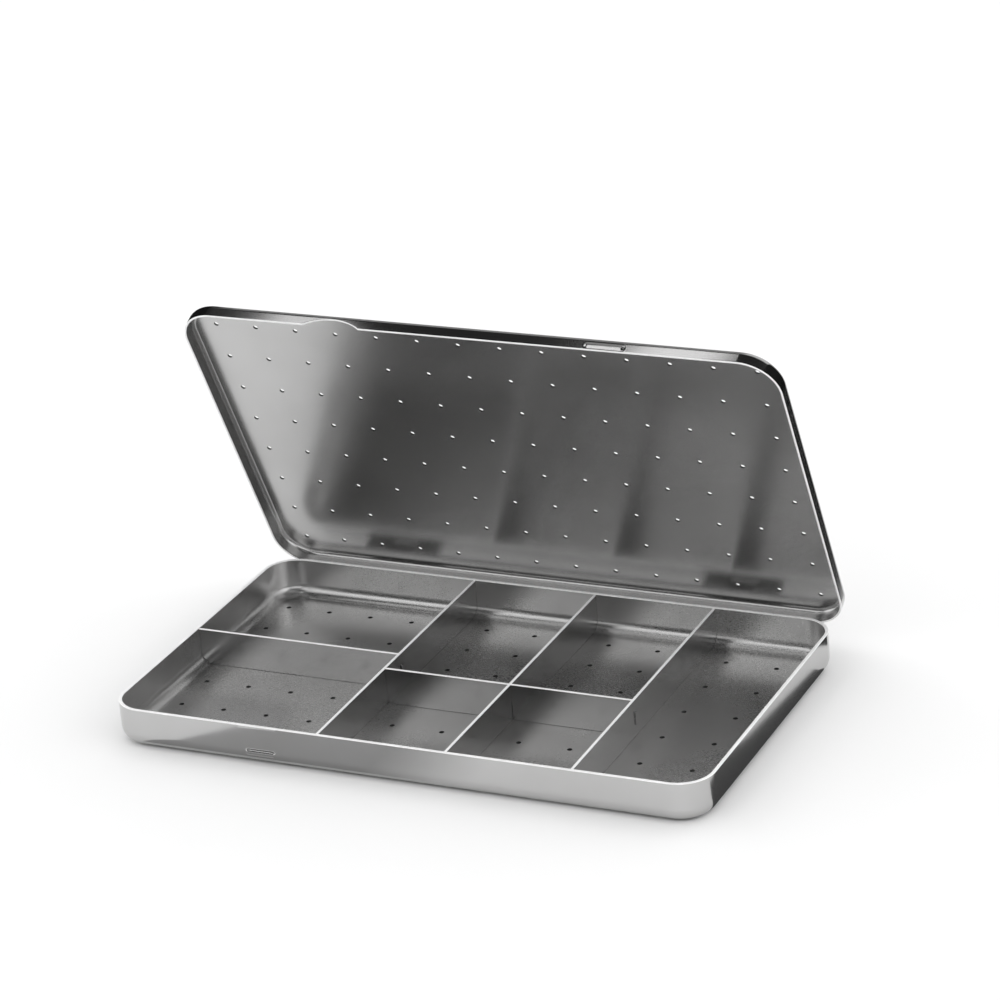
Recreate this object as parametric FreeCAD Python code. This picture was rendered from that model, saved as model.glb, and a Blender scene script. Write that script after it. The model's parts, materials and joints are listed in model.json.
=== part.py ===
import FreeCAD
import Part

import math
import os

# Flat sterilization container for small surgical instruments: a drawn steel tray with seven
# compartments and a vented lid on two rear hinges. The lid is modelled where it stands open.
# Origin: middle of the flat underside. X runs along the length, -Y is the front, +Z is up.

# Tray
tray_length = 180.0
tray_width = 106.0
tray_height = 12.2
sheet = 1.0
tray_corner_radius = 10.0
tray_bottom_radius = 4.5

# Lid, a shallow cover of thinner sheet that closes over the outside of the tray
lid_sheet = 0.6
lid_overlap = 3.8
lid_wall_clearance = 0.65
lid_head_gap = 0.6
lid_edge_radius = 2.0
lid_inner_chamfer = 0.8
lid_open_angle = 64.7

# Thumb notch in the lid's front edge, and the grip bead on the tray below it
grip_x = -41.6
notch_width = 17.5
notch_depth = 2.8
grip_bead_length = 10.0
grip_bead_height = 4.1

# Bead in the lid's front wall
lid_bead_x = 41.6
lid_bead_length = 12.4

# Section that both beads share: a ball-ended ridge outside, a groove behind it
bead_radius = 1.3
bead_rise = 0.5
bead_groove_radius = 0.75

# Steam holes in the lid
hole_diameter = 1.5
hole_sides = 6
lid_hole_columns = 14
lid_hole_rows = 8
lid_hole_side_margin = 8.5
lid_hole_side_shift = 0.5
lid_hole_front_margin = 8.05

# Steam holes in the floor, a grid in each compartment: columns from the partition at its left,
# rows centred between front and back, the outer ones a share of the pitch from the walls
floor_hole_margin = 7.2
floor_hole_pitch_wide = 13.7
floor_hole_pitch_narrow = 15.4
floor_hole_edge_share = 0.7
wide_columns = 4
narrow_columns = 2
left_rows = 3
middle_back_rows = 4
middle_front_rows = 2
right_rows = 6

# Dividers
divider_sheet = 0.8
divider_drop = 0.2
divider_corner_gap = 0.5
left_divider_x = -24.0
middle_divider_x = 15.0
right_divider_x = 52.3
left_cross_y = 0.4
right_cross_y = -9.1
tab_height = 4.0
tab_reach = 0.4
slot_clearance = 0.05

# Hinges
hinge_end_distance = 35.0
hinge_length = 24.0
hinge_sheet = 0.7
pin_diameter = 1.5
pin_clearance = 0.05
knuckle_gap = 0.2
leaf_clearance = 0.3
leaf_corner_radius = 1.0
roll_sweep = 300.0
pin_end = 0.2

# Levels and faces that follow from the sizes above
cut_overrun = 1.0
level_tolerance = 0.001
inner_length = tray_length - 2 * sheet
inner_width = tray_width - 2 * sheet
inner_bottom_radius = tray_bottom_radius - sheet
tray_back = tray_width / 2
tray_front = -tray_width / 2

lid_offset = lid_wall_clearance + lid_sheet
lid_length = tray_length + 2 * lid_offset
lid_width = tray_width + 2 * lid_offset
lid_free_edge = tray_height - lid_overlap
lid_ceiling = tray_height + lid_head_gap
lid_top = lid_ceiling + lid_sheet
lid_back = lid_width / 2
lid_front = -lid_width / 2
lid_wall_flat_top = lid_top - lid_edge_radius

divider_top = tray_height - divider_drop
divider_middle = (sheet + divider_top) / 2
slot_width = divider_sheet + 2 * slot_clearance
slot_depth = divider_sheet + 2 * cut_overrun
hinge_offset = tray_length / 2 - hinge_end_distance

pin_radius = pin_diameter / 2
bore_radius = pin_radius + pin_clearance
knuckle_radius = bore_radius + hinge_sheet
axis_y = lid_back + knuckle_radius
axis_z = tray_bottom_radius + knuckle_radius


def upright_block(length, width, low, high, corner_radius):
    """A block centred on the origin with round upright corners."""
    block = Part.makeBox(length, width, high - low, FreeCAD.Vector(-length / 2, -width / 2, low))
    upright = []
    for edge in block.Edges:
        if abs(edge.Vertexes[0].Z - edge.Vertexes[1].Z) > level_tolerance:
            upright.append(edge)
    return block.makeFillet(corner_radius, upright)


def edges_at(solid, level):
    """The edges that lie flat at one level."""
    found = []
    for edge in solid.Edges:
        if all(abs(vertex.Z - level) < level_tolerance for vertex in edge.Vertexes):
            found.append(edge)
    return found


def drill(positions, low, high):
    """Upright hole cutters at the given places, with few sides because there are so many holes."""
    cutters = []
    for x, y in positions:
        corners = []
        for side in range(hole_sides + 1):
            angle = 2 * math.pi * (side + 0.5) / hole_sides
            corners.append(FreeCAD.Vector(x + hole_diameter / 2 * math.cos(angle),
                                          y + hole_diameter / 2 * math.sin(angle), low))
        face = Part.Face(Part.makePolygon(corners))
        cutters.append(face.extrude(FreeCAD.Vector(0, 0, high - low)))
    return Part.makeCompound(cutters)


def capsule(radius, length, center):
    """A round bar along X with ball ends, length over the balls."""
    half = length / 2 - radius
    start = center - FreeCAD.Vector(half, 0, 0)
    end = center + FreeCAD.Vector(half, 0, 0)
    bar = Part.makeCylinder(radius, 2 * half, start, FreeCAD.Vector(1, 0, 0))
    return bar.fuse([Part.makeSphere(radius, start), Part.makeSphere(radius, end)])


def press_bead(wall, x, z, length, outer_face, thickness):
    """Press an elongated bead outwards through a front wall."""
    center = FreeCAD.Vector(x, outer_face + bead_radius - bead_rise, z)
    outside = capsule(bead_radius, length, center)
    half_groove = length / 2 - bead_radius
    groove = Part.makeCylinder(bead_groove_radius, 2 * half_groove,
                               center - FreeCAD.Vector(half_groove, 0, 0), FreeCAD.Vector(1, 0, 0))
    inner_face = outer_face + thickness
    room = Part.makeBox(length, 2 * bead_radius, 2 * bead_radius,
                        FreeCAD.Vector(x - length / 2, inner_face, z - bead_radius))
    return wall.fuse(outside.cut(room)).cut(groove)


def centered_rows(low, high, count):
    """Places of hole rows, evenly spread and centred between two walls."""
    pitch = (high - low) / (count - 1 + 2 * floor_hole_edge_share)
    middle = (low + high) / 2
    return [middle + (row - (count - 1) / 2) * pitch for row in range(count)]


def compartment_holes(left_face, columns, pitch, front_face, back_face, rows):
    """Hole places in one compartment, from the partition at its left."""
    places = []
    for column in range(columns):
        for y in centered_rows(front_face, back_face, rows):
            places.append((left_face + floor_hole_margin + column * pitch, y))
    return places


def floor_hole_places():
    wall_left = -inner_length / 2
    wall_front = -inner_width / 2
    wall_back = inner_width / 2
    half = divider_sheet / 2
    places = compartment_holes(wall_left, wide_columns, floor_hole_pitch_wide,
                               left_cross_y + half, wall_back, left_rows)
    places += compartment_holes(wall_left, wide_columns, floor_hole_pitch_wide,
                                wall_front, left_cross_y - half, left_rows)
    for divider_x in (left_divider_x, middle_divider_x):
        places += compartment_holes(divider_x + half, narrow_columns, floor_hole_pitch_narrow,
                                    right_cross_y + half, wall_back, middle_back_rows)
        places += compartment_holes(divider_x + half, narrow_columns, floor_hole_pitch_narrow,
                                    wall_front, right_cross_y - half, middle_front_rows)
    places += compartment_holes(right_divider_x + half, narrow_columns, floor_hole_pitch_narrow,
                                wall_front, wall_back, right_rows)
    return places


def lid_hole_places():
    span_x = lid_length - 2 * lid_hole_side_margin
    span_y = lid_width - 2 * lid_hole_front_margin
    places = []
    for column in range(lid_hole_columns):
        for row in range(lid_hole_rows):
            x = lid_hole_side_shift - span_x / 2 + span_x * column / (lid_hole_columns - 1)
            y = -span_y / 2 + span_y * row / (lid_hole_rows - 1)
            places.append((x, y))
    return places


def make_tray():
    outside = upright_block(tray_length, tray_width, 0, tray_height, tray_corner_radius)
    outside = outside.makeFillet(tray_bottom_radius, edges_at(outside, 0))
    inside = upright_block(inner_length, inner_width, sheet, tray_height + cut_overrun,
                           tray_corner_radius - sheet)
    inside = inside.makeFillet(inner_bottom_radius, edges_at(inside, sheet))
    tray = outside.cut(inside)
    tray = press_bead(tray, grip_x, grip_bead_height, grip_bead_length, tray_front, sheet)
    return tray.cut(drill(floor_hole_places(), -cut_overrun, sheet + cut_overrun))


def notch_cutter():
    """A round bar across the lid's front wall that leaves a shallow arc in its free edge."""
    radius = ((notch_width / 2) ** 2 + notch_depth ** 2) / (2 * notch_depth)
    center_z = lid_free_edge + notch_depth - radius
    start = FreeCAD.Vector(grip_x, lid_front - cut_overrun, center_z)
    depth = lid_offset + cut_overrun
    return Part.makeCylinder(radius, depth, start, FreeCAD.Vector(0, 1, 0))


def make_lid():
    outside = upright_block(lid_length, lid_width, lid_free_edge, lid_top,
                            tray_corner_radius + lid_offset)
    outside = outside.makeFillet(lid_edge_radius, edges_at(outside, lid_top))
    inside = upright_block(lid_length - 2 * lid_sheet, lid_width - 2 * lid_sheet,
                           lid_free_edge - cut_overrun, lid_ceiling,
                           tray_corner_radius + lid_wall_clearance)
    inside = inside.makeChamfer(lid_inner_chamfer, edges_at(inside, lid_ceiling))
    lid = outside.cut(inside)
    bead_z = (lid_free_edge + lid_wall_flat_top) / 2
    lid = press_bead(lid, lid_bead_x, bead_z, lid_bead_length, lid_front, lid_sheet)
    lid = lid.cut(notch_cutter())
    return lid.cut(drill(lid_hole_places(), lid_ceiling - cut_overrun, lid_top + cut_overrun))


def divider_plate(along_x, low, high, place, rounded_low, rounded_high):
    """An upright plate on the tray floor; rounded ends follow the tray's bottom radius."""
    height = divider_top - sheet
    half = divider_sheet / 2
    if along_x:
        corner = FreeCAD.Vector(low, place - half, sheet)
        plate = Part.makeBox(high - low, divider_sheet, height, corner)
    else:
        corner = FreeCAD.Vector(place - half, low, sheet)
        plate = Part.makeBox(divider_sheet, high - low, height, corner)
    foot_corners = []
    for edge in plate.Edges:
        at_foot = all(abs(vertex.Z - sheet) < level_tolerance for vertex in edge.Vertexes)
        middle = edge.CenterOfMass.x if along_x else edge.CenterOfMass.y
        at_low = rounded_low and abs(middle - low) < level_tolerance
        at_high = rounded_high and abs(middle - high) < level_tolerance
        if at_foot and (at_low or at_high):
            foot_corners.append(edge)
    if not foot_corners:
        return plate
    return plate.makeFillet(inner_bottom_radius + divider_corner_gap, foot_corners)


def tab_slot(x, y):
    """Slot through a long divider for the tab of a cross divider."""
    low = divider_middle - tab_height / 2 - slot_clearance
    return Part.makeBox(slot_depth, slot_width, tab_height + 2 * slot_clearance,
                        FreeCAD.Vector(x - slot_depth / 2, y - slot_width / 2, low))


def long_divider(x, slot_places):
    plate = divider_plate(False, -inner_width / 2, inner_width / 2, x, True, True)
    for y in slot_places:
        plate = plate.cut(tab_slot(x, y))
    return plate


def halved_divider():
    """The middle long divider, open from its top edge where the cross divider drops in."""
    plate = divider_plate(False, -inner_width / 2, inner_width / 2, middle_divider_x, True, True)
    opening = Part.makeBox(slot_depth, slot_width, tray_height - divider_middle,
                           FreeCAD.Vector(middle_divider_x - slot_depth / 2,
                                          right_cross_y - slot_width / 2, divider_middle))
    return plate.cut(opening)


def tab(face_x, y, direction):
    """Tab that runs from a cross divider through the slot of a long divider."""
    reach = divider_sheet + tab_reach
    low_x = face_x if direction > 0 else face_x - reach
    return Part.makeBox(reach, divider_sheet, tab_height,
                        FreeCAD.Vector(low_x, y - divider_sheet / 2, divider_middle - tab_height / 2))


def left_cross_divider():
    end = left_divider_x - divider_sheet / 2
    plate = divider_plate(True, -inner_length / 2, end, left_cross_y, True, False)
    return plate.fuse(tab(end, left_cross_y, 1))


def right_cross_divider():
    start = left_divider_x + divider_sheet / 2
    end = right_divider_x - divider_sheet / 2
    plate = divider_plate(True, start, end, right_cross_y, False, False)
    plate = plate.fuse([tab(start, right_cross_y, -1), tab(end, right_cross_y, 1)])
    opening = Part.makeBox(slot_width, slot_depth, divider_middle - sheet,
                           FreeCAD.Vector(middle_divider_x - slot_width / 2,
                                          right_cross_y - slot_depth / 2, sheet))
    return plate.cut(opening)


def knuckle(start_x, length, first_angle):
    """A strip rolled round the pin, counter-clockwise in the YZ plane from first_angle."""
    profile = []
    for radius in (bore_radius, knuckle_radius):
        points = []
        for share in (0.0, 0.5, 1.0):
            angle = math.radians(first_angle + roll_sweep * share)
            points.append(FreeCAD.Vector(start_x, axis_y + radius * math.cos(angle),
                                         axis_z + radius * math.sin(angle)))
        profile.append(points)
    inner, outer = profile
    wire = Part.Wire([
        Part.Arc(inner[0], inner[1], inner[2]).toShape(),
        Part.LineSegment(inner[2], outer[2]).toShape(),
        Part.Arc(outer[2], outer[1], outer[0]).toShape(),
        Part.LineSegment(outer[0], inner[0]).toShape(),
    ])
    return Part.Face(wire).extrude(FreeCAD.Vector(length, 0, 0))


def round_leaf_corners(plate, level):
    """Round the two outer corners of a flat leaf at the given level."""
    corners = []
    for edge in plate.Edges:
        across = abs(edge.Vertexes[0].Y - edge.Vertexes[1].Y) > level_tolerance
        if across and abs(edge.CenterOfMass.z - level) < level_tolerance:
            corners.append(edge)
    return plate.makeFillet(leaf_corner_radius, corners)


def knuckle_spans():
    """Start and length of the two outer knuckles and the middle one, from the hinge's end."""
    third = (hinge_length - 2 * knuckle_gap) / 3
    starts = [0.0, third + knuckle_gap, 2 * (third + knuckle_gap)]
    return third, starts


def base_leaf(center_x):
    """Leaf on the tray's back wall, bent out at its foot and rolled at both ends."""
    start_x = center_x - hinge_length / 2
    third, starts = knuckle_spans()
    foot = axis_z - knuckle_radius
    top = lid_free_edge - leaf_clearance
    plate = Part.makeBox(hinge_length, hinge_sheet, top - foot,
                         FreeCAD.Vector(start_x, tray_back, foot))
    plate = round_leaf_corners(plate, top)
    pieces = []
    for offset in (starts[0], starts[2]):
        shelf = Part.makeBox(third, axis_y - tray_back, hinge_sheet,
                             FreeCAD.Vector(start_x + offset, tray_back, foot))
        pieces.append(shelf)
        pieces.append(knuckle(start_x + offset, third, -90.0))
    return plate.fuse(pieces).removeSplitter()


def lid_leaf(center_x):
    """Leaf on the lid's back wall, rolled round the pin in the middle third."""
    start_x = center_x - hinge_length / 2
    third, starts = knuckle_spans()
    low = axis_z + knuckle_radius + leaf_clearance
    top = lid_wall_flat_top
    plate = Part.makeBox(hinge_length, hinge_sheet, top - low,
                         FreeCAD.Vector(start_x, lid_back, low))
    plate = round_leaf_corners(plate, top)
    strip = Part.makeBox(third, hinge_sheet, top - axis_z,
                         FreeCAD.Vector(start_x + starts[1], lid_back, axis_z))
    roll = knuckle(start_x + starts[1], third, 180.0)
    return plate.fuse([strip, roll]).removeSplitter()


def hinge_pin(center_x):
    length = hinge_length + 2 * pin_end
    return Part.makeCylinder(pin_radius, length,
                             FreeCAD.Vector(center_x - length / 2, axis_y, axis_z),
                             FreeCAD.Vector(1, 0, 0))


def opened(shape):
    """Swing a piece of the closed lid to the angle at which it stands open."""
    shape.rotate(FreeCAD.Vector(0, axis_y, axis_z), FreeCAD.Vector(-1, 0, 0), lid_open_angle)
    return shape


def make_nodes():
    nodes = {
        "base_tray": make_tray(),
        "lid_cover": opened(make_lid()),
        "divider_left": long_divider(left_divider_x, (left_cross_y, right_cross_y)),
        "divider_middle": halved_divider(),
        "divider_right": long_divider(right_divider_x, (right_cross_y,)),
        "cross_divider_left": left_cross_divider(),
        "cross_divider_right": right_cross_divider(),
    }
    for side, center_x in (("left", -hinge_offset), ("right", hinge_offset)):
        nodes["hinge_base_leaf_" + side] = base_leaf(center_x)
        nodes["hinge_lid_leaf_" + side] = opened(lid_leaf(center_x))
        nodes["hinge_pin_" + side] = hinge_pin(center_x)
    return nodes


os.makedirs("parts", exist_ok=True)
for name, shape in make_nodes().items():
    shape.exportStep("parts/" + name + ".step")
    box = shape.BoundBox
    print("%-22s solids %d valid %s volume %.1f  x %.1f..%.1f y %.1f..%.1f z %.1f..%.1f" % (
        name, len(shape.Solids), shape.isValid(), shape.Volume,
        box.XMin, box.XMax, box.YMin, box.YMax, box.ZMin, box.ZMax))
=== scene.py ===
import json
import math

import bmesh
import bpy
from mathutils import Matrix, Vector


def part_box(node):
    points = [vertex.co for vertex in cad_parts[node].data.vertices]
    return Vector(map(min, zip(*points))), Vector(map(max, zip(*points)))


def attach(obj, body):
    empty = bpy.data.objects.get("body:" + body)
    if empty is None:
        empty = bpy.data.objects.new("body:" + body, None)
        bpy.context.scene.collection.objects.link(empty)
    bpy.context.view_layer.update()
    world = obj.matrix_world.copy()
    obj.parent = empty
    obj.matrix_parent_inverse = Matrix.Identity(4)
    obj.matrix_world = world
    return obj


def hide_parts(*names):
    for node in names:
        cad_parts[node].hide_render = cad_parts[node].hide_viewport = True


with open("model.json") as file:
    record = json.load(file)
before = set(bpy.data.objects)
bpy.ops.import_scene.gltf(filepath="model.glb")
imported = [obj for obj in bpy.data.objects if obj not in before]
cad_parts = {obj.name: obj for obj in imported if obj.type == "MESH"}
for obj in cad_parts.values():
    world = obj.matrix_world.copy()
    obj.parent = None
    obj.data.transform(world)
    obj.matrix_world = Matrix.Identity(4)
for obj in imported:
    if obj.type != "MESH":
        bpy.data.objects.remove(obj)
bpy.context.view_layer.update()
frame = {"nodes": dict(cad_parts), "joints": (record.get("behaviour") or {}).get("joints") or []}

MM = 0.001
hinge = frame["joints"][0]
hinge_point = Vector(hinge["pos_m"])
lid_open_angle = math.radians(-hinge["range_deg"][0])


def across(node, axis):
    """Middle of a node's box along one axis."""
    low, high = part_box(node)
    return (low[axis] + high[axis]) / 2


# Drawn shells; every length here is in metres
tray_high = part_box("base_tray")[1]
divider_low, divider_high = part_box("divider_left")
half_length = tray_high.x
half_width = tray_high.y
tray_height = tray_high.z
sheet = divider_low.z
tray_corner_radius = 10.0 * MM
tray_bottom_radius = 4.5 * MM
lid_sheet = 0.6 * MM
lid_overlap = 3.8 * MM
lid_wall_clearance = 0.65 * MM
lid_offset = lid_wall_clearance + lid_sheet
lid_head_gap = 0.6 * MM
lid_edge_radius = 2.0 * MM
rim_rounding = 0.16 * MM
tray_rim_band = 1.0 * MM
lid_rim_band = 0.5 * MM
sharp_angle = math.radians(50)

# Thumb notch and beads
grip_x = -41.6 * MM
notch_width = 17.5 * MM
notch_depth = 2.8 * MM
grip_bead_length = 10.0 * MM
grip_bead_height = 4.1 * MM
lid_bead_x = 41.6 * MM
lid_bead_length = 12.4 * MM
bead_half_height = 1.1 * MM
bead_rise = 0.48 * MM
bead_sharpness = 1.4
bead_margin = 0.7 * MM
bead_step = 0.35 * MM
bead_ring_pitch = 0.3 * MM
notch_steps = 36

# Steam holes
hole_diameter = 1.5 * MM
hole_sides = 20
cutter_reach = 1.0 * MM
lid_hole_columns = 14
lid_hole_rows = 8
lid_hole_side_margin = 8.5 * MM
lid_hole_side_shift = 0.5 * MM
lid_hole_front_margin = 8.05 * MM
floor_hole_margin = 7.2 * MM
floor_hole_pitch_wide = 13.7 * MM
floor_hole_pitch_narrow = 15.4 * MM
floor_hole_edge_share = 0.7  # of the pitch, from a wall to the first row
wide_columns = 4
narrow_columns = 2
left_rows = 3
middle_back_rows = 4
middle_front_rows = 2
right_rows = 6

# Dividers
divider_sheet = divider_high.x - divider_low.x
divider_top = divider_high.z
divider_foot_radius = 4.0 * MM
left_divider_x = across("divider_left", 0)
middle_divider_x = across("divider_middle", 0)
right_divider_x = across("divider_right", 0)
left_cross_y = across("cross_divider_left", 1)
right_cross_y = across("cross_divider_right", 1)
tab_height = 4.0 * MM
tab_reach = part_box("cross_divider_right")[1].x - right_divider_x - divider_sheet / 2
slot_clearance = 0.05 * MM
cut_bevel = 0.14 * MM

# Camera, as fitted to the photograph
camera_azimuth = math.radians(26.203)
camera_elevation = math.radians(23.051)
camera_roll = math.radians(-4.788)
camera_distance = 1068.26 * MM
camera_side = -7.23 * MM
camera_rise = -46.18 * MM
camera_lens = 136.02

# Studio floor, and the thin dark ring where the tray meets it, a painted contact shadow that only
# mirrored rays see
floor_reach = 30.0
floor_drop = 0.05 * MM
floor_tones = (0.88, 0.90)
# tone and insets of the painted contact shadow ring
contact_shade_ring_tone = 0.1
contact_shade_ring_insets = (4.4 * MM, 2.4 * MM)

# Dark cards that only mirrored rays see, painting shade into the steel's reflections: name, tone, x where
# the tone is full, x where it has faded, corners
card_height = 0.1 * MM
mirror_shade_cards = (
    # painted reflection: keeps the lid's right outer wall dark
    ("lid_side_card", 0.01, 0.0, -1.0,
     ((0.095, 0.062, 0.0), (0.118, 0.050, 0.0), (0.270, 0.230, 0.0), (0.170, 0.280, 0.0))),
    # painted reflection: darkens the lid's top left corner
    ("lid_left_corner_card", 0.01, 0.0, 1.0,
     ((-0.118, 0.014, 0.085), (-0.098, 0.050, 0.085),
      (-0.098, 0.050, 0.140), (-0.118, 0.014, 0.140))),
    # painted reflection: darkens the lid's top right corner
    ("lid_right_corner_card", 0.01, 0.0, -1.0,
     ((0.106, 0.016, 0.080), (0.106, 0.060, 0.080), (0.106, 0.060, 0.123), (0.106, 0.016, 0.123))),
    # painted reflection: a grey sheet that darkens the middle of the tray's front wall
    ("front_card", 0.42, -0.012, 0.018,
     ((-0.081, -0.0525, card_height), (-0.047, -0.086, card_height),
      (0.020, -0.086, card_height), (0.020, -0.0525, card_height))),
    # painted reflection: darkens the tray's right outer wall
    ("right_card", 0.10, 0.0, -1.0,
     ((0.0875, -0.044, card_height), (0.107, -0.036, card_height), (0.0985, 0.0, card_height),
      (0.0950, 0.045, card_height), (0.0875, 0.045, card_height))),
)

# Studio lights: name, place, target, size, brightness of the face, whether mirrored rays see it
lights = (
    ("ceiling", (0.0, 0.0, 4.0), (0.0, 0.0, 0.0), (16.0, 16.0), 0.82, False),
    ("lid_card", (-0.105, -0.125, 0.54), (0.07, 0.06, 0.06), (0.08, 0.22), 1.8, True),
    ("band_strip_right", (-0.034, 0.068, 0.330), (0.066, 0.012, 0.107), (0.066, 0.03), 1.5, True),
    ("band_strip_left", (-0.170, 0.068, 0.330), (-0.068, 0.012, 0.107), (0.034, 0.03), 1.3, True),
)

# Light tent: brightness of each panel and the slopes that bound it, as an axis of the direction
# with the values at which the panel is dark and fully bright
sky_base = 0.03
sky_panels = (
    (1.5, ((0, -0.66, -0.84), (2, 0.0, 0.04))),
    (1.4, ((0, 0.64, 0.82), (2, 0.0, 0.04))),
    (0.35, ((1, 0.42, 0.55), (0, -0.72, -0.6), (0, 0.72, 0.6))),
    (0.5, ((1, 0.42, 0.55), (0, -0.32, -0.1), (0, 0.72, 0.6))),
    (1.25, ((1, -0.42, -0.5), (2, 0.345, 0.40), (2, 0.66, 0.58), (0, -0.72, -0.6), (0, 0.1, -0.1))),
    (1.6, ((1, -0.35, -0.45), (2, 0.62, 0.67), (2, 0.78, 0.73), (0, -0.52, -0.46), (0, -0.28, -0.34))),
    (1.3, ((1, -0.42, -0.5), (2, 0.42, 0.36), (0, 0.72, 0.6), (0, -0.1, 0.1))),
    (0.4, ((2, 0.6, 0.8), (1, 0.1, 0.0), (0, 0.1, 0.3))),
)

# Steel: tone, roughness, strength of the grain and of the waves left by drawing
tray_inside_steel = (0.60, 0.28, 0.002, 0.0)
tray_outside_steel = (0.54, 0.16, 0.002, 0.0)
lid_inside_steel = (0.54, 0.24, 0.002, 0.0)
lid_outside_steel = (0.50, 0.12, 0.002, 0.0)
# dark walls of the steam holes: painted shade that makes the holes read dark
hole_shade_steel = (0.12, 0.6, 0.002, 0.0)
divider_steel = (0.50, 0.24, 0.002, 0.0)
hinge_strip_steel = (0.58, 0.26, 0.06, 0.02)
pin_wire_steel = (0.66, 0.2, 0.04, 0.0)

# Cut edges: tone and roughness; the near-white, mostly non-metallic tone is a painted highlight along
# rims and divider tops
sheet_edge = (0.97, 0.5)
lid_edge = (0.97, 0.45)

lid_free_edge = tray_height - lid_overlap
lid_ceiling = tray_height + lid_head_gap
lid_top = lid_ceiling + lid_sheet
lid_flat_top = lid_top - lid_edge_radius
inner_half_length = half_length - sheet
inner_half_width = half_width - sheet

# Material slots of a shell
INSIDE, EDGE, OUTSIDE, HOLE = 0, 1, 2, 3


def spread(low, high, count):
    """Even steps from low towards high, which is left out."""
    return [low + (high - low) * i / count for i in range(count)]


def outline(half_x, half_y, radius, front_details):
    """Stations counter-clockwise round a rounded rectangle: x, y and the outward normal."""
    corner_steps = 18
    side_steps = 10
    straight_x = half_x - radius
    straight_y = half_y - radius
    front = spread(-straight_x, straight_x, side_steps)
    for center, half, step in front_details:
        count = int(2 * half / step)
        front += [center - half + 2 * half * i / count for i in range(count + 1)]
    stations = [(x, -half_y, 0.0, -1.0) for x in sorted(set(round(x, 7) for x in front))]

    def corner(center_x, center_y, first):
        for i in range(corner_steps + 1):
            angle = math.radians(first + 90 * i / corner_steps)
            nx, ny = math.cos(angle), math.sin(angle)
            stations.append((center_x + radius * nx, center_y + radius * ny, nx, ny))

    corner(straight_x, -straight_y, -90)
    stations.extend((half_x, y, 1.0, 0.0) for y in spread(-straight_y, straight_y, side_steps)[1:])
    corner(straight_x, straight_y, 0)
    stations.extend((x, half_y, 0.0, 1.0) for x in spread(straight_x, -straight_x, side_steps)[1:])
    corner(-straight_x, straight_y, 90)
    stations.extend((-half_x, y, -1.0, 0.0) for y in spread(straight_y, -straight_y, side_steps)[1:])
    corner(-straight_x, -straight_y, 180)
    del stations[-1]
    return stations


def arc(center_depth, center_z, radius, first, last, steps):
    """Section points on an arc, as depth inwards from the outer wall and height."""
    points = []
    for i in range(steps + 1):
        angle = math.radians(first + (last - first) * i / steps)
        points.append((center_depth + radius * math.cos(angle),
                       center_z + radius * math.sin(angle)))
    return points


def tray_section():
    """Outside from the floor up, over the rim, inside down; and where the rim starts and ends."""
    radius = tray_bottom_radius
    outside = arc(radius, radius, radius, 270, 180, 18)
    outside += [(0.0, radius + bead_ring_pitch * i) for i in range(1, 7)]
    outside.append((0.0, tray_height - tray_rim_band))
    rim = arc(rim_rounding, tray_height - rim_rounding, rim_rounding, 180, 90, 4)
    rim += arc(sheet - rim_rounding, tray_height - rim_rounding, rim_rounding, 90, 0, 4)
    inside = [(sheet, tray_height - tray_rim_band)]
    inside += [(sheet, radius + bead_ring_pitch * i) for i in range(6, 0, -1)]
    inside += arc(radius, radius, radius - sheet, 180, 270, 18)
    return outside + rim + inside, len(outside), len(outside) + len(rim)


def lid_section():
    """The same for the lid, from its top down to the free edge and up inside."""
    radius = lid_edge_radius
    lowest = lid_free_edge + lid_rim_band
    levels = [lid_flat_top + (lowest - lid_flat_top) * i / 10 for i in range(1, 11)]
    outside = arc(radius, lid_flat_top, radius, 90, 180, 10) + [(0.0, z) for z in levels]
    rim = arc(rim_rounding, lid_free_edge + rim_rounding, rim_rounding, 180, 270, 4)
    rim += arc(lid_sheet - rim_rounding, lid_free_edge + rim_rounding, rim_rounding, 270, 360, 4)
    inside = [(lid_sheet, z) for z in reversed(levels)]
    inside += arc(radius, lid_flat_top, radius - lid_sheet, 180, 90, 8)
    return outside + rim + inside, len(outside), len(outside) + len(rim)


def bead_lift(x, z, bead_x, bead_z, length):
    """How far a pressed bead lifts the wall at x and z."""
    past_end = max(abs(x - bead_x) - (length / 2 - bead_half_height), 0.0)
    distance = math.hypot(past_end, z - bead_z)
    if distance >= bead_half_height:
        return 0.0
    return bead_rise * math.cos(math.pi / 2 * distance / bead_half_height) ** bead_sharpness


def tray_edit(x, y, z, ny):
    """Press the grip bead into the tray's front wall."""
    if ny == -1.0:
        y -= bead_lift(x, z, grip_x, grip_bead_height, grip_bead_length)
    return x, y, z


def lid_edit(x, y, z, ny):
    """Press the bead into the lid's front wall and raise the free edge to the thumb notch."""
    if ny != -1.0 or z > lid_flat_top:
        return x, y, z
    bead_z = (lid_free_edge + lid_flat_top) / 2
    y -= bead_lift(x, z, lid_bead_x, bead_z, lid_bead_length)
    radius = ((notch_width / 2) ** 2 + notch_depth ** 2) / (2 * notch_depth)
    if abs(x - grip_x) < notch_width / 2:
        rise = math.sqrt(radius ** 2 - (x - grip_x) ** 2) - (radius - notch_depth)
        z += rise * (lid_flat_top - z) / (lid_flat_top - lid_free_edge)
    return x, y, z


def made_mesh(name, verts, faces):
    """A mesh whose faces all look outwards."""
    mesh = bpy.data.meshes.new(name)
    mesh.from_pydata(verts, [], faces)
    work = bmesh.new()
    work.from_mesh(mesh)
    bmesh.ops.recalc_face_normals(work, faces=work.faces)
    work.to_mesh(mesh)
    work.free()
    return mesh


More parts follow.
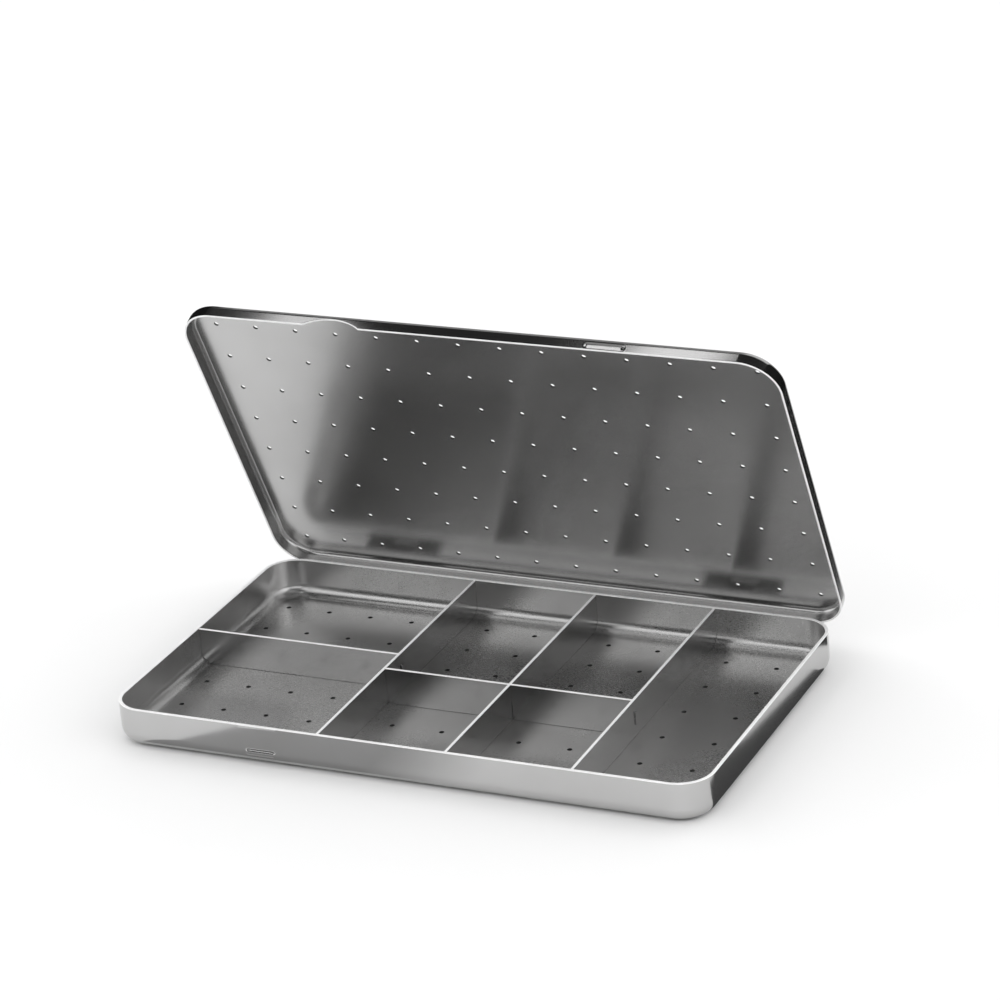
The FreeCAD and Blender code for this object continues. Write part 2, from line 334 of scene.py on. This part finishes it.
def shell(name, stations, section, edit):
    """A closed shell: the section swept round the outline, with a flat face at each end."""
    points, rim_first, rim_end = section
    verts = []
    for depth, z in points:
        for x, y, nx, ny in stations:
            verts.append(edit(x - depth * nx, y - depth * ny, z, ny))
    count = len(stations)
    faces = [list(range(count))]
    slots = [OUTSIDE]
    for ring in range(len(points) - 1):
        slot = OUTSIDE if ring < rim_first else EDGE if ring < rim_end - 1 else INSIDE
        for i in range(count):
            a = ring * count + i
            b = ring * count + (i + 1) % count
            faces.append([a, b, b + count, a + count])
            slots.append(slot)
    last = (len(points) - 1) * count
    faces.append([last + i for i in range(count)])
    slots.append(INSIDE)
    mesh = made_mesh(name, verts, faces)
    mesh.polygons.foreach_set("material_index", slots)
    for side in ("inside", "edge", "outside", "hole"):
        mesh.materials.append(bpy.data.materials.new(name + "_" + side))
    return mesh


def hole_cutters(places, low, high):
    """Round upright cutters, one for each steam hole."""
    verts = []
    faces = []
    for x, y in places:
        first = len(verts)
        for z in (low, high):
            for i in range(hole_sides):
                angle = 2 * math.pi * i / hole_sides
                verts.append((x + hole_diameter / 2 * math.cos(angle),
                              y + hole_diameter / 2 * math.sin(angle), z))
        faces.append([first + i for i in range(hole_sides)])
        faces.append([first + hole_sides + i for i in range(hole_sides)])
        for i in range(hole_sides):
            j = (i + 1) % hole_sides
            faces.append([first + i, first + j, first + hole_sides + j, first + hole_sides + i])
    mesh = made_mesh("cutters", verts, faces)
    mesh.polygons.foreach_set("material_index", [HOLE] * len(faces))
    return mesh


def box_cutters(boxes):
    """Box cutters, each given by its lowest and highest corner."""
    verts = []
    faces = []
    for low, high in boxes:
        first = len(verts)
        for z in (low[2], high[2]):
            verts += [(low[0], low[1], z), (high[0], low[1], z),
                      (high[0], high[1], z), (low[0], high[1], z)]
        for quad in ((3, 2, 1, 0), (4, 5, 6, 7), (0, 1, 5, 4), (1, 2, 6, 5), (2, 3, 7, 6), (3, 0, 4, 7)):
            faces.append([first + corner for corner in quad])
    return made_mesh("cutters", verts, faces)


def link(name, mesh):
    """Add a mesh to the scene as an object."""
    piece = bpy.data.objects.new(name, mesh)
    bpy.context.scene.collection.objects.link(piece)
    return piece


def apply_modifiers(piece):
    """Keep what the piece's modifiers make as its mesh."""
    graph = bpy.context.evaluated_depsgraph_get()
    made = bpy.data.meshes.new_from_object(piece.evaluated_get(graph))
    piece.modifiers.clear()
    piece.data = made


def cut(piece, cutter_mesh):
    """Take the cutters' shape out of a piece."""
    cutter = link("cutter", cutter_mesh)
    cutting = piece.modifiers.new("cut", "BOOLEAN")
    cutting.operation = "DIFFERENCE"
    cutting.solver = "EXACT"
    cutting.object = cutter
    apply_modifiers(piece)
    bpy.data.objects.remove(cutter)


def smooth(piece):
    """Shade round stretches smoothly, and keep sharp edges sharp and flat faces flat."""
    piece.data.shade_smooth()
    piece.data.set_sharp_from_angle(angle=sharp_angle)
    weighting = piece.modifiers.new("flat faces stay flat", "WEIGHTED_NORMAL")
    weighting.keep_sharp = True
    weighting.weight = 80


def centered_rows(low, high, count):
    """Rows at an even pitch, with the edge share of the pitch left at each end."""
    pitch = (high - low) / (count - 1 + 2 * floor_hole_edge_share)
    middle = (low + high) / 2
    return [middle + (row - (count - 1) / 2) * pitch for row in range(count)]


def compartment_holes(left, columns, pitch, front, back, rows):
    """Places of one compartment's steam holes, with its columns counted from the left."""
    return [(left + floor_hole_margin + column * pitch, y)
            for column in range(columns) for y in centered_rows(front, back, rows)]


def floor_hole_places():
    """Places of the tray's steam holes, compartment by compartment."""
    half = divider_sheet / 2
    wide, narrow = floor_hole_pitch_wide, floor_hole_pitch_narrow
    back, front = inner_half_width, -inner_half_width
    left = -inner_half_length
    places = compartment_holes(left, wide_columns, wide, left_cross_y + half, back, left_rows)
    places += compartment_holes(left, wide_columns, wide, front, left_cross_y - half, left_rows)
    for x in (left_divider_x, middle_divider_x):
        places += compartment_holes(x + half, narrow_columns, narrow,
                                    right_cross_y + half, back, middle_back_rows)
        places += compartment_holes(x + half, narrow_columns, narrow,
                                    front, right_cross_y - half, middle_front_rows)
    return places + compartment_holes(right_divider_x + half, narrow_columns, narrow,
                                      front, back, right_rows)


def lid_hole_places():
    """Places of the lid's steam holes while it is shut, a straight grid shifted to the right."""
    span_x = 2 * (half_length + lid_offset - lid_hole_side_margin)
    span_y = 2 * (half_width + lid_offset - lid_hole_front_margin)
    return [(lid_hole_side_shift + span_x * (column / (lid_hole_columns - 1) - 0.5),
             span_y * (row / (lid_hole_rows - 1) - 0.5))
            for column in range(lid_hole_columns) for row in range(lid_hole_rows)]


def make_tray():
    """The drawn tray with its grip bead and floor holes."""
    details = [(grip_x, grip_bead_length / 2 + bead_margin, bead_step)]
    stations = outline(half_length, half_width, tray_corner_radius, details)
    tray = link("tray_shell", shell("tray_shell", stations, tray_section(), tray_edit))
    cut(tray, hole_cutters(floor_hole_places(), -cutter_reach, sheet + cutter_reach))
    smooth(tray)
    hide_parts("base_tray")
    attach(tray, "tray")
    return tray


def make_lid():
    """The drawn lid, built shut and then turned about the hinge to its place at rest."""
    details = [(grip_x, notch_width / 2, notch_width / notch_steps),
               (lid_bead_x, lid_bead_length / 2 + bead_margin, bead_step)]
    stations = outline(half_length + lid_offset, half_width + lid_offset,
                       tray_corner_radius + lid_offset, details)
    lid = link("lid_shell", shell("lid_shell", stations, lid_section(), lid_edit))
    cut(lid, hole_cutters(lid_hole_places(), lid_ceiling - cutter_reach, lid_top + cutter_reach))
    lid.data.transform(Matrix.Translation(hinge_point)
                       @ Matrix.Rotation(lid_open_angle, 4, Vector(hinge["axis"]))
                       @ Matrix.Translation(-hinge_point))
    smooth(lid)
    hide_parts("lid_cover")
    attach(lid, "lid")
    return lid


def plate_mesh(name, points, place, along_x):
    """An upright plate whose outline is given as distance along it and height."""
    half = divider_sheet / 2
    verts = []
    for offset in (-half, half):
        for along, z in points:
            verts.append((along, place + offset, z) if along_x else (place + offset, along, z))
    count = len(points)
    faces = [list(range(count)), [count + i for i in range(count)]]
    for i in range(count):
        j = (i + 1) % count
        faces.append([i, count + i, count + j, j])
    return made_mesh(name, verts, faces)


def foot_corner(end, direction):
    """The round lower corner of a divider that stands in the tray's bottom radius."""
    steps = 10
    points = []
    for i in range(steps + 1):
        angle = math.pi / 2 * i / steps
        points.append((end - direction * divider_foot_radius * (1 - math.cos(angle)),
                       sheet + divider_foot_radius * (1 - math.sin(angle))))
    return points


def plate_outline(low, high, round_low=False, round_high=False, tab_low=False, tab_high=False):
    """A divider's outline from its low to its high end, either of them rounded at the foot or tabbed."""
    middle = (sheet + divider_top) / 2
    tab_bottom, tab_top = middle - tab_height / 2, middle + tab_height / 2
    reach = divider_sheet + tab_reach
    points = [(low, divider_top)]
    if tab_low:
        points += [(low, tab_top), (low - reach, tab_top),
                   (low - reach, tab_bottom), (low, tab_bottom)]
    points += foot_corner(low, -1) if round_low else [(low, sheet)]
    points += list(reversed(foot_corner(high, 1))) if round_high else [(high, sheet)]
    if tab_high:
        points += [(high, tab_bottom), (high + reach, tab_bottom),
                   (high + reach, tab_top), (high, tab_top)]
    points.append((high, divider_top))
    return points


def finish_plate(piece, node, cutters):
    """Cut the slots, break the edges and mark the cut top edge."""
    for side in ("body", "edge"):
        piece.data.materials.append(bpy.data.materials.new(piece.name + "_" + side))
    if cutters:
        cut(piece, box_cutters(cutters))
    rounding = piece.modifiers.new("broken edges", "BEVEL")
    rounding.width = cut_bevel
    rounding.segments = 3
    rounding.limit_method = "ANGLE"
    rounding.angle_limit = math.radians(40)
    apply_modifiers(piece)
    # the top faces get the edge material, whose pale tone is a painted highlight
    top_zone = divider_top - 1.2 * cut_bevel
    for polygon in piece.data.polygons:
        if polygon.center.z > top_zone:
            polygon.material_index = EDGE
    smooth(piece)
    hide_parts(node)
    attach(piece, "tray")
    return piece


def make_dividers():
    """Three long dividers with slots, and two cross dividers whose tabs go through them."""
    half = divider_sheet / 2
    slot = half + slot_clearance
    middle = (sheet + divider_top) / 2
    tab_bottom = middle - tab_height / 2 - slot_clearance
    tab_top = middle + tab_height / 2 + slot_clearance

    def tab_slot(x, y):
        return ((x - sheet, y - slot, tab_bottom), (x + sheet, y + slot, tab_top))

    lap_open = ((middle_divider_x - sheet, right_cross_y - slot, middle),
                (middle_divider_x + sheet, right_cross_y + slot, divider_top + sheet))
    lap_cross = ((middle_divider_x - slot, right_cross_y - sheet, 0.0),
                 (middle_divider_x + slot, right_cross_y + sheet, middle))
    long_plates = (
        ("divider_left", left_divider_x,
         [tab_slot(left_divider_x, left_cross_y), tab_slot(left_divider_x, right_cross_y)]),
        ("divider_middle", middle_divider_x, [lap_open]),
        ("divider_right", right_divider_x, [tab_slot(right_divider_x, right_cross_y)]),
    )
    plates = []
    for node, x, cutters in long_plates:
        points = plate_outline(-inner_half_width, inner_half_width, round_low=True, round_high=True)
        mesh = plate_mesh(node + "_plate", points, x, along_x=False)
        plates.append(finish_plate(link(node + "_plate", mesh), node, cutters))
    points = plate_outline(-inner_half_length, left_divider_x - half, round_low=True, tab_high=True)
    mesh = plate_mesh("cross_left_plate", points, left_cross_y, along_x=True)
    plates.append(finish_plate(link("cross_left_plate", mesh), "cross_divider_left", []))
    points = plate_outline(left_divider_x + half, right_divider_x - half, tab_low=True, tab_high=True)
    mesh = plate_mesh("cross_right_plate", points, right_cross_y, along_x=True)
    plates.append(finish_plate(link("cross_right_plate", mesh), "cross_divider_right", [lap_cross]))
    return plates


class Nodes:
    """Short forms for building one material's node tree."""

    def __init__(self, material):
        material.use_nodes = True
        self.tree = material.node_tree
        self.shader = self.tree.nodes["Principled BSDF"]
        self.place = self.add("ShaderNodeTexCoord").outputs["Object"]

    def add(self, kind, **settings):
        node = self.tree.nodes.new(kind)
        for name, value in settings.items():
            setattr(node, name, value)
        return node

    def join(self, source, target):
        self.tree.links.new(source, target)

    def noise(self, scale, detail, stretch=(1, 1, 1)):
        mapping = self.add("ShaderNodeMapping")
        mapping.inputs["Scale"].default_value = stretch
        self.join(self.place, mapping.inputs["Vector"])
        texture = self.add("ShaderNodeTexNoise")
        texture.inputs["Scale"].default_value = scale
        texture.inputs["Detail"].default_value = detail
        self.join(mapping.outputs["Vector"], texture.inputs["Vector"])
        return texture.outputs["Fac"]

    def remap(self, value, from_low, from_high, to_low, to_high):
        node = self.add("ShaderNodeMapRange")
        for name, number in (("From Min", from_low), ("From Max", from_high),
                             ("To Min", to_low), ("To Max", to_high)):
            node.inputs[name].default_value = number
        self.join(value, node.inputs["Value"])
        return node.outputs["Result"]

    def total(self, first, second):
        node = self.add("ShaderNodeMath", operation="ADD")
        self.join(first, node.inputs[0])
        self.join(second, node.inputs[1])
        return node.outputs["Value"]

    def mix_color(self, factor, first, second):
        node = self.add("ShaderNodeMix", data_type="RGBA")
        self.join(factor, node.inputs[0])
        node.inputs[6].default_value = first
        node.inputs[7].default_value = second
        return node.outputs[2]

    def bump(self, height, strength, distance, normal=None):
        node = self.add("ShaderNodeBump")
        node.inputs["Strength"].default_value = strength
        node.inputs["Distance"].default_value = distance
        self.join(height, node.inputs["Height"])
        if normal is not None:
            self.join(normal, node.inputs["Normal"])
        return node.outputs["Normal"]


def grey(value, warmth=0.0):
    """A neutral colour, or one that is slightly warm."""
    return (value * (1 + warmth), value, value * (1 - warmth), 1.0)


def steel(material, tone, roughness, grain_strength, wave):
    """Stainless sheet: cloudy satin, very fine grain, slight waves left by drawing."""
    n = Nodes(material)
    shader = n.shader
    shader.inputs["Metallic"].default_value = 1.0
    clouds = n.noise(24.0, 5.0)
    grain = n.noise(1.0, 4.0, (900.0, 6000.0, 6000.0))
    patches = n.remap(n.noise(60.0, 6.0), 0.35, 0.7, 0.0, 1.0)
    n.join(n.mix_color(patches, grey(tone, 0.003), grey(tone * 0.94, 0.005)), shader.inputs["Base Color"])
    base = n.remap(clouds, 0.3, 0.7, roughness * 0.9, roughness * 1.1)
    swing = 0.06 * roughness
    n.join(n.total(base, n.remap(grain, 0.3, 0.7, -swing, swing)), shader.inputs["Roughness"])
    soft = n.bump(n.noise(9.0, 1.0), wave, 2.0 * MM)
    n.join(n.bump(grain, grain_strength, 0.01 * MM, soft), shader.inputs["Normal"])


def pale_edge_painted_highlight(material, tone, roughness):
    """A cut and deburred sheet edge: paler and rougher than the faces, with short file marks; its
    near-white, mostly non-metallic tone is a painted highlight along rims and divider tops.
    """
    n = Nodes(material)
    shader = n.shader
    # mostly non-metallic, so the pale tone shows as a painted highlight
    shader.inputs["Metallic"].default_value = 0.1
    marks = n.noise(2400.0, 3.0)
    patches = n.remap(n.noise(160.0, 3.0), 0.35, 0.65, 0.0, 1.0)
    n.join(n.mix_color(patches, grey(tone), grey(tone * 0.9)), shader.inputs["Base Color"])
    n.join(n.remap(marks, 0.3, 0.7, roughness * 0.85, roughness * 1.15), shader.inputs["Roughness"])
    n.join(n.bump(marks, 0.2, 0.02 * MM), shader.inputs["Normal"])


def dress(tray, lid, dividers):
    """Give the shells, the dividers and the hinges' own solids their steel."""
    steel(tray.data.materials[INSIDE], *tray_inside_steel)
    steel(tray.data.materials[OUTSIDE], *tray_outside_steel)
    steel(tray.data.materials[HOLE], *hole_shade_steel)
    steel(lid.data.materials[INSIDE], *lid_inside_steel)
    steel(lid.data.materials[OUTSIDE], *lid_outside_steel)
    steel(lid.data.materials[HOLE], *hole_shade_steel)
    pale_edge_painted_highlight(tray.data.materials[EDGE], *sheet_edge)
    pale_edge_painted_highlight(lid.data.materials[EDGE], *lid_edge)
    for plate in dividers:
        steel(plate.data.materials[INSIDE], *divider_steel)
        pale_edge_painted_highlight(plate.data.materials[EDGE], *sheet_edge)
    strip = bpy.data.materials.new("hinge_strip")
    steel(strip, *hinge_strip_steel)
    wire = bpy.data.materials.new("pin_wire")
    steel(wire, *pin_wire_steel)
    for name, node in frame["nodes"].items():
        if name.startswith("hinge"):
            node.data.materials.clear()
            node.data.materials.append(wire if "pin" in name else strip)


def make_lights():
    """Rectangular lights, each aimed at its target and as bright per area as its row says."""
    for name, place, target, size, brightness, mirrored in lights:
        data = bpy.data.lights.new(name, "AREA")
        data.shape = "RECTANGLE"
        data.size, data.size_y = size
        data.energy = brightness * math.pi * size[0] * size[1]
        lamp = bpy.data.objects.new(name, data)
        bpy.context.scene.collection.objects.link(lamp)
        lamp.location = place
        lamp.rotation_mode = "QUATERNION"
        lamp.rotation_quaternion = (Vector(target) - Vector(place)).to_track_quat("-Z", "Y")
        lamp.visible_glossy = mirrored


def make_floor():
    """A pale matt floor, a hair below the tray."""
    reach = floor_reach
    corners = [(-reach, -reach, 0), (reach, -reach, 0), (reach, reach, 0), (-reach, reach, 0)]
    mesh = made_mesh("studio_floor", corners, [(0, 1, 2, 3)])
    floor = link("studio_floor", mesh)
    floor.location.z = -floor_drop
    material = bpy.data.materials.new("studio_floor")
    n = Nodes(material)
    pale, paler = floor_tones
    n.join(n.mix_color(n.noise(3.0, 2.0), grey(pale), grey(paler)), n.shader.inputs["Base Color"])
    n.shader.inputs["Roughness"].default_value = 0.9
    n.shader.inputs["Specular IOR Level"].default_value = 0.2
    mesh.materials.append(material)


def make_sky():
    """The light tent: the sum of its panels, each its brightness times its slopes, over a dim base."""
    world = bpy.data.worlds.new("studio_world")
    bpy.context.scene.world = world
    world.use_nodes = True
    tree = world.node_tree
    split = tree.nodes.new("ShaderNodeSeparateXYZ")
    tree.links.new(tree.nodes.new("ShaderNodeTexCoord").outputs["Generated"], split.inputs["Vector"])
    total = None
    for brightness, slopes in sky_panels:
        product = None
        for axis, dark, bright in slopes:
            slope = tree.nodes.new("ShaderNodeMapRange")
            slope.interpolation_type = "SMOOTHSTEP"
            slope.inputs["From Min"].default_value = dark
            slope.inputs["From Max"].default_value = bright
            tree.links.new(split.outputs[axis], slope.inputs["Value"])
            times = tree.nodes.new("ShaderNodeMath")
            times.operation = "MULTIPLY"
            tree.links.new(slope.outputs["Result"], times.inputs[0])
            times.inputs[1].default_value = brightness if product is None else 1.0
            if product is not None:
                tree.links.new(product, times.inputs[1])
            product = times.outputs["Value"]
        plus = tree.nodes.new("ShaderNodeMath")
        plus.operation = "ADD"
        tree.links.new(product, plus.inputs[0])
        plus.inputs[1].default_value = sky_base
        if total is not None:
            tree.links.new(total, plus.inputs[1])
        total = plus.outputs["Value"]
    background = tree.nodes["Background"]
    tree.links.new(total, background.inputs["Color"])
    background.inputs["Strength"].default_value = 1.0


def hide_from_all_but_mirrors(card, tone, full, faded):
    """Show a card to mirrored rays only, so that its tone is painted shade in reflections. Its tone fades
    along x into the floor's.
    """
    material = bpy.data.materials.new(card.name)
    n = Nodes(material)
    split = n.add("ShaderNodeSeparateXYZ")
    n.join(n.place, split.inputs["Vector"])
    fade = n.remap(split.outputs["X"], full, faded, 0.0, 1.0)
    n.join(n.mix_color(fade, grey(tone), grey(floor_tones[0])), n.shader.inputs["Base Color"])
    n.shader.inputs["Roughness"].default_value = 1.0
    n.shader.inputs["Specular IOR Level"].default_value = 0.0
    card.data.materials.append(material)
    card.visible_camera = False
    card.visible_diffuse = False
    card.visible_shadow = False


def make_cards():
    """Dark cards that only mirrored rays see, painting shade into reflections, and a thin dark ring where
    the tray meets the floor, a painted contact shadow in those reflections.
    """
    for name, tone, full, faded, corners in mirror_shade_cards:
        card = link(name, made_mesh(name, corners, [list(range(len(corners)))]))
        hide_from_all_but_mirrors(card, tone, full, faded)
    # a thin dark ring round the tray's foot: painted contact shadow, seen in reflections only
    verts = []
    for inset in contact_shade_ring_insets:
        verts += [(x, y, card_height) for x, y, nx, ny in
                  outline(half_length - inset, half_width - inset, tray_corner_radius - inset, [])]
    count = len(verts) // 2
    faces = [[i, (i + 1) % count, count + (i + 1) % count, count + i] for i in range(count)]
    ring = link("contact_shade_ring", made_mesh("contact_shade_ring", verts, faces))
    hide_from_all_but_mirrors(ring, contact_shade_ring_tone, 0.0, -1.0)


def make_camera():
    """The photograph's view."""
    a, e, r = camera_azimuth, camera_elevation, camera_roll
    back = Vector((math.sin(a) * math.cos(e), -math.cos(a) * math.cos(e), math.sin(e)))
    level_right = Vector((math.cos(a), math.sin(a), 0))
    level_up = level_right.cross(-back)
    right = math.cos(r) * level_right + math.sin(r) * level_up
    up = math.cos(r) * level_up - math.sin(r) * level_right
    place = (Vector((0, 0, tray_height)) + camera_distance * back
             - camera_side * right - camera_rise * up)
    data = bpy.data.cameras.new("camera")
    data.sensor_width = 36.0
    data.lens = camera_lens
    data.clip_start = 0.05
    camera = bpy.data.objects.new("camera", data)
    bpy.context.scene.collection.objects.link(camera)
    camera.matrix_world = Matrix((
        (right.x, up.x, back.x, place.x),
        (right.y, up.y, back.y, place.y),
        (right.z, up.z, back.z, place.z),
        (0, 0, 0, 1)))
    bpy.context.scene.camera = camera


dress(make_tray(), make_lid(), make_dividers())
make_floor()
make_sky()
make_cards()
make_lights()
make_camera()
bpy.context.scene.view_settings.view_transform = "Standard"
